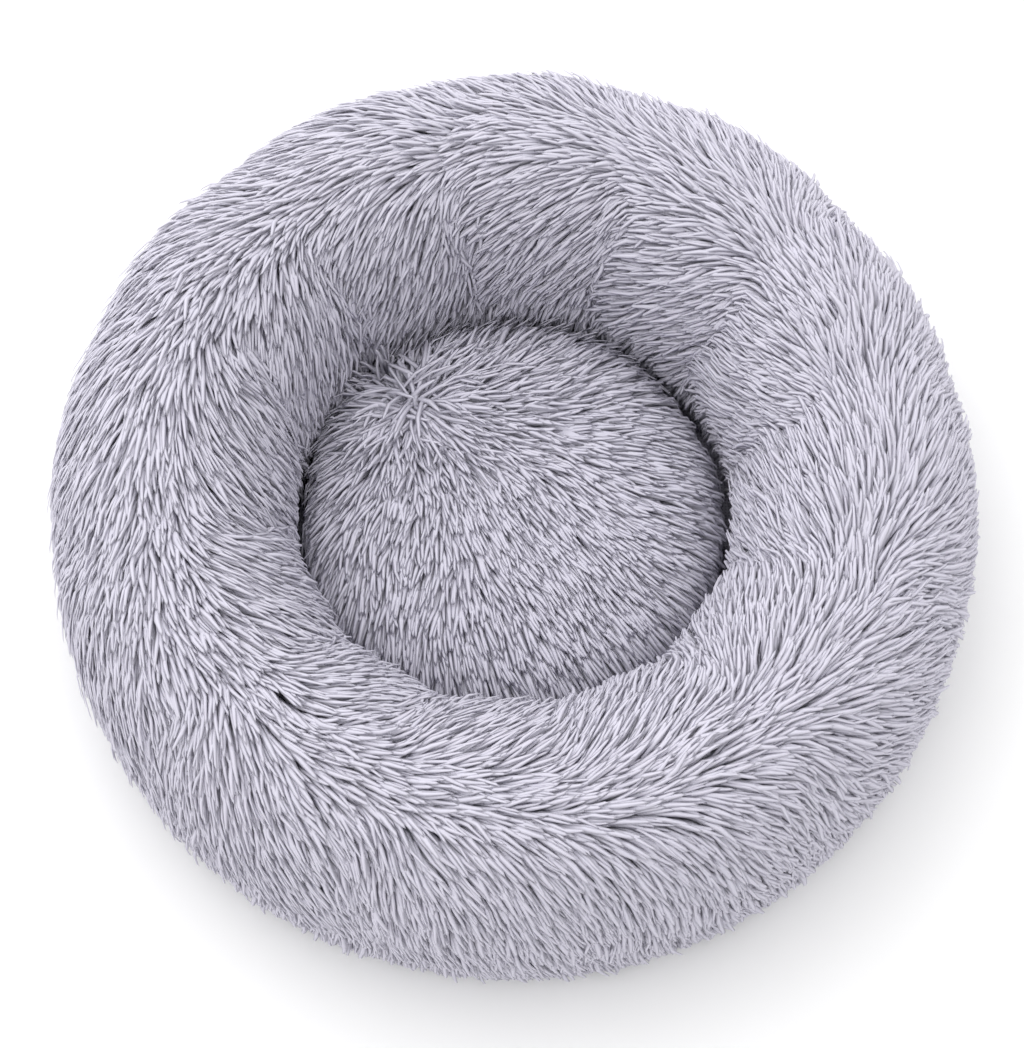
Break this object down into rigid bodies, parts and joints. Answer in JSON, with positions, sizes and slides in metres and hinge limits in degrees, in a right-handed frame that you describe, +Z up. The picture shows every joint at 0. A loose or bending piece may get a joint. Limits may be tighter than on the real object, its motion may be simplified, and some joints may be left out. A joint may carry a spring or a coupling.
{
  "type": "pet cushion bed",
  "caption": "Round plush pet bed: a high stuffed rim in long clumped faux fur around a separate lift-out fur cushion, on a flat grip base with a zip low at the back.",
  "frame": {"origin": "centre of the bed on the surface it stands on", "axes": "+Z up; +Y towards the back, where the zip is; +X to the right seen from the front"},
  "size_m": [0.6, 0.6, 0.19],
  "materials": {
    "fur": "long soft clumped pile, matt",
    "inner_cloth": "thin non-woven, matt",
    "fibre": "loose polyester fibre",
    "base_cloth": "woven, matt",
    "lining_cloth": "plain woven, matt",
    "grip": "soft PVC dots, satin",
    "tape": "woven tape, matt",
    "teeth": "nylon coil, satin",
    "zip_metal": "nickel plated, satin",
    "label": "blank woven satin"
  },
  "bodies": {
    "bed": {"rim_panel_01": "fur", "rim_panel_02": "fur", "rim_panel_03": "fur", "rim_panel_04": "fur", "rim_panel_05": "fur", "rim_panel_06": "fur", "rim_panel_07": "fur", "rim_panel_08": "fur", "rim_panel_09": "fur", "rim_panel_10": "fur", "rim_panel_11": "fur", "rim_panel_12": "fur", "rim_liner": "inner_cloth", "rim_filling": "fibre", "grip_dots": "grip", "base_cloth": "base_cloth", "floor_lining": "lining_cloth", "base_binding": "tape", "zip_tape_lower": "tape", "zip_tape_upper": "tape", "zip_coil_lower": "teeth", "zip_coil_upper": "teeth", "zip_stop_closed": "zip_metal", "zip_stop_open": "zip_metal"},
    "cushion": {"cushion_top": "fur", "cushion_bottom": "lining_cloth", "cushion_filling": "fibre", "cushion_piping": "lining_cloth", "care_label": "label"},
    "slider": {"zip_slider": "zip_metal"},
    "pull": {"zip_pull": "zip_metal"}
  },
  "joints": [
    {"name": "cushion_lift", "type": "slide", "parent": "bed", "child": "cushion", "axis": [0, 0, 1], "range_m": [0, 0.25]},
    {"name": "zip_run", "type": "hinge", "parent": "bed", "child": "slider", "pos_m": [0, 0, 0], "axis": [0, 0, 1], "range_deg": [0, 104.1]},
    {"name": "pull_swing", "type": "hinge", "parent": "slider", "child": "pull", "pos_m": [0.19107, 0.20424, 0.01433], "axis": [-0.1882, -0.2011, -0.9613], "range_deg": [0, 165]}
  ]
}
